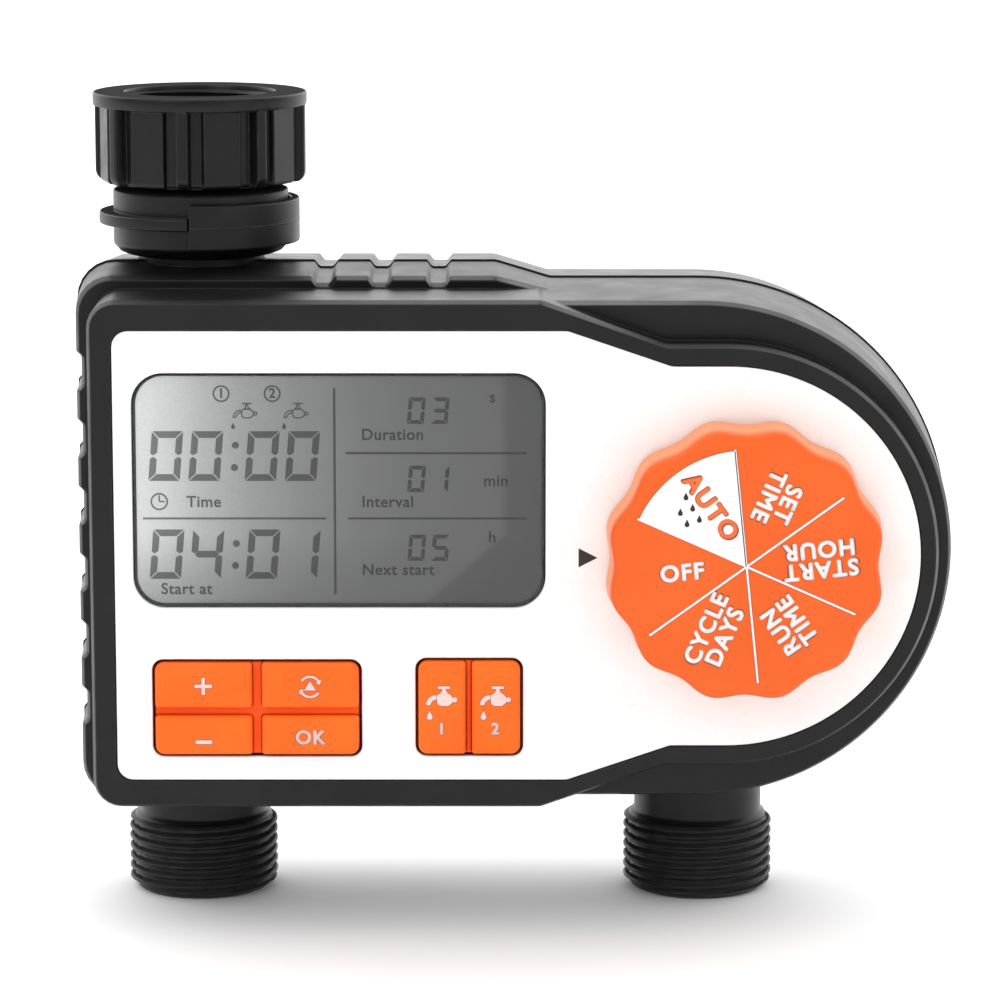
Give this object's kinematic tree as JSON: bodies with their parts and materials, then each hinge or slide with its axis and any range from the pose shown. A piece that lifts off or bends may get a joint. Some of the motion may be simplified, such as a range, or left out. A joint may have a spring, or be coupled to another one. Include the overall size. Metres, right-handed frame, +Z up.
{
  "type": "irrigation timer",
  "caption": "Flat black garden water timer: threaded outlets below, a swivel tap nut above, and on its white front a grey display, orange keys and a scalloped programme dial.",
  "frame": {"origin": "centre of the footprint's box, on the plane of the outlets' end faces", "axes": "+X across the front toward the dial, +Y from the front to the back, +Z up toward the tap nut"},
  "size_m": [0.1524, 0.0654, 0.1422],
  "materials": {
    "case_black": "fine satin texture",
    "port_black": "satin, moulded",
    "plate_white": "smooth white",
    "window_clear": "clear and glossy",
    "lcd_grey": "grey reflective display",
    "key_orange": "matte silicone",
    "web_orange": "matte silicone",
    "dial_orange": "satin with white print",
    "moulding_pale": "plain moulding",
    "manifold_white": "natural acetal",
    "contact_strip_pink": "elastomer strip",
    "seal_black": "soft seal",
    "board_green": "solder mask",
    "screw_steel": "plated",
    "spring_steel": "nickel plated",
    "contact_brass": "stamped",
    "coil_copper": "wound wire",
    "cell_wrapper": "printed sleeve, plain",
    "filter_mesh": "fine mesh",
    "lead_red": "insulated wire"
  },
  "bodies": {
    "case": {"front_shell": "case_black", "rear_shell": "case_black", "inlet_adapter": "port_black", "inlet_clip": "port_black", "outlet_1": "port_black", "outlet_2": "port_black", "face_plate": "plate_white", "lcd_window": "window_clear", "lcd_panel": "lcd_grey", "keypad_sheet": "web_orange", "lcd_holder": "moulding_pale", "battery_tray": "moulding_pale", "valve_manifold": "manifold_white", "bonnet_1": "manifold_white", "bonnet_2": "manifold_white", "lcd_connector": "contact_strip_pink", "dial_seal": "seal_black", "outlet_seal_1": "seal_black", "outlet_seal_2": "seal_black", "diaphragm_1": "seal_black", "diaphragm_2": "seal_black", "inlet_washer": "seal_black", "main_pcb": "board_green", "housing_screw_1": "screw_steel", "housing_screw_2": "screw_steel", "housing_screw_3": "screw_steel", "housing_screw_4": "screw_steel", "housing_screw_5": "screw_steel", "pcb_screw_1": "screw_steel", "pcb_screw_2": "screw_steel", "detent_spring": "spring_steel", "plunger_spring_1": "spring_steel", "plunger_spring_2": "spring_steel", "contact_bridge": "spring_steel", "contact_plus": "spring_steel", "contact_minus": "spring_steel", "coil_1": "coil_copper", "coil_2": "coil_copper", "battery_1": "cell_wrapper", "battery_2": "cell_wrapper", "inlet_filter": "filter_mesh", "solenoid_lead_1": "lead_red", "solenoid_lead_2": "lead_red", "battery_lead": "lead_red"},
    "key_plus": {"key_plus": "key_orange"},
    "key_minus": {"key_minus": "key_orange"},
    "key_cycle": {"key_cycle": "key_orange"},
    "key_ok": {"key_ok": "key_orange"},
    "key_zone_1": {"key_zone_1": "key_orange"},
    "key_zone_2": {"key_zone_2": "key_orange"},
    "dial": {"program_dial": "dial_orange", "dial_shaft": "moulding_pale", "wiper_disc": "moulding_pale", "wiper_contact": "contact_brass"},
    "nut": {"inlet_nut": "port_black"},
    "door": {"battery_door": "case_black", "door_gasket": "seal_black"},
    "door_screw": {"door_screw": "case_black"},
    "plunger_1": {"plunger_1": "screw_steel"},
    "plunger_2": {"plunger_2": "screw_steel"}
  },
  "joints": [
    {"name": "key_plus_press", "type": "slide", "parent": "case", "child": "key_plus", "axis": [0, 1, 0], "range_m": [0, 0.0008], "stiffness_N_per_m": 1500},
    {"name": "key_minus_press", "type": "slide", "parent": "case", "child": "key_minus", "axis": [0, 1, 0], "range_m": [0, 0.0008], "stiffness_N_per_m": 1500},
    {"name": "key_cycle_press", "type": "slide", "parent": "case", "child": "key_cycle", "axis": [0, 1, 0], "range_m": [0, 0.0008], "stiffness_N_per_m": 1500},
    {"name": "key_ok_press", "type": "slide", "parent": "case", "child": "key_ok", "axis": [0, 1, 0], "range_m": [0, 0.0008], "stiffness_N_per_m": 1500},
    {"name": "key_zone_1_press", "type": "slide", "parent": "case", "child": "key_zone_1", "axis": [0, 1, 0], "range_m": [0, 0.0008], "stiffness_N_per_m": 1500},
    {"name": "key_zone_2_press", "type": "slide", "parent": "case", "child": "key_zone_2", "axis": [0, 1, 0], "range_m": [0, 0.0008], "stiffness_N_per_m": 1500},
    {"name": "dial_turn", "type": "hinge", "parent": "case", "child": "dial", "pos_m": [0.03885, -0.02325, 0.06645], "axis": [0, -1, 0], "continuous": true},
    {"name": "nut_spin", "type": "hinge", "parent": "case", "child": "nut", "pos_m": [-0.05465, 0.01275, 0.1347], "axis": [0, 0, 1], "continuous": true},
    {"name": "door_open", "type": "hinge", "parent": "case", "child": "door", "pos_m": [-0.0424, 0.0313, 0.09025], "axis": [0, 0, 1], "range_deg": [0, 90]},
    {"name": "door_screw_turn", "type": "hinge", "parent": "door", "child": "door_screw", "pos_m": [0.0176, 0.0305, 0.0905], "axis": [0, -1, 0], "continuous": true},
    {"name": "plunger_1_lift", "type": "slide", "parent": "case", "child": "plunger_1", "axis": [1, 0, 0], "range_m": [0, 0.002], "deforming": ["plunger_spring_1"]},
    {"name": "plunger_2_lift", "type": "slide", "parent": "case", "child": "plunger_2", "axis": [-1, 0, 0], "range_m": [0, 0.002], "deforming": ["plunger_spring_2"]}
  ]
}
